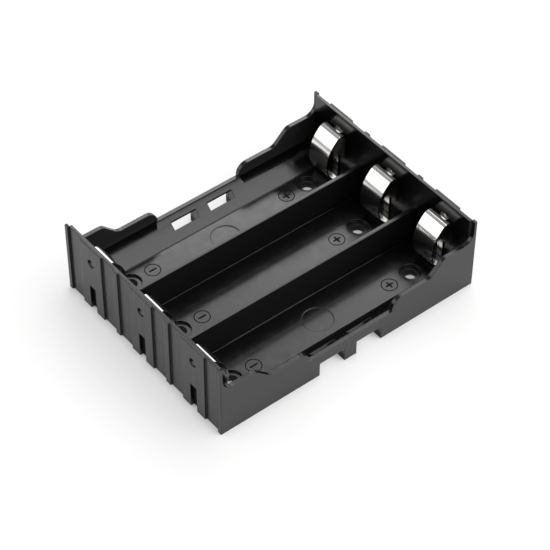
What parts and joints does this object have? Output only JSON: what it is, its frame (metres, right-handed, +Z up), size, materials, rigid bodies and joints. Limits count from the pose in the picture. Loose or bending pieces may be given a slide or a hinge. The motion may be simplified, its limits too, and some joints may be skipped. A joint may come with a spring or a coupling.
{
  "type": "cylindrical cell holder",
  "caption": "Open moulded tray with side-by-side bays that hold cylindrical cells between looped spring-strip contacts.",
  "frame": {"origin": "middle of the underside", "axes": "+X along the cells towards their positive ends, +Y across the bays, +Z up"},
  "size_m": [0.077, 0.06, 0.021],
  "materials": {
    "moulded_plastic": "moulded, glossy inside",
    "nickel_plated_strip": "bright nickel plate"
  },
  "bodies": {
    "root": {"housing": "moulded_plastic", "positive_contact_1": "nickel_plated_strip", "negative_contact_1": "nickel_plated_strip", "positive_contact_2": "nickel_plated_strip", "negative_contact_2": "nickel_plated_strip", "positive_contact_3": "nickel_plated_strip", "negative_contact_3": "nickel_plated_strip"}
  },
  "joints": []
}
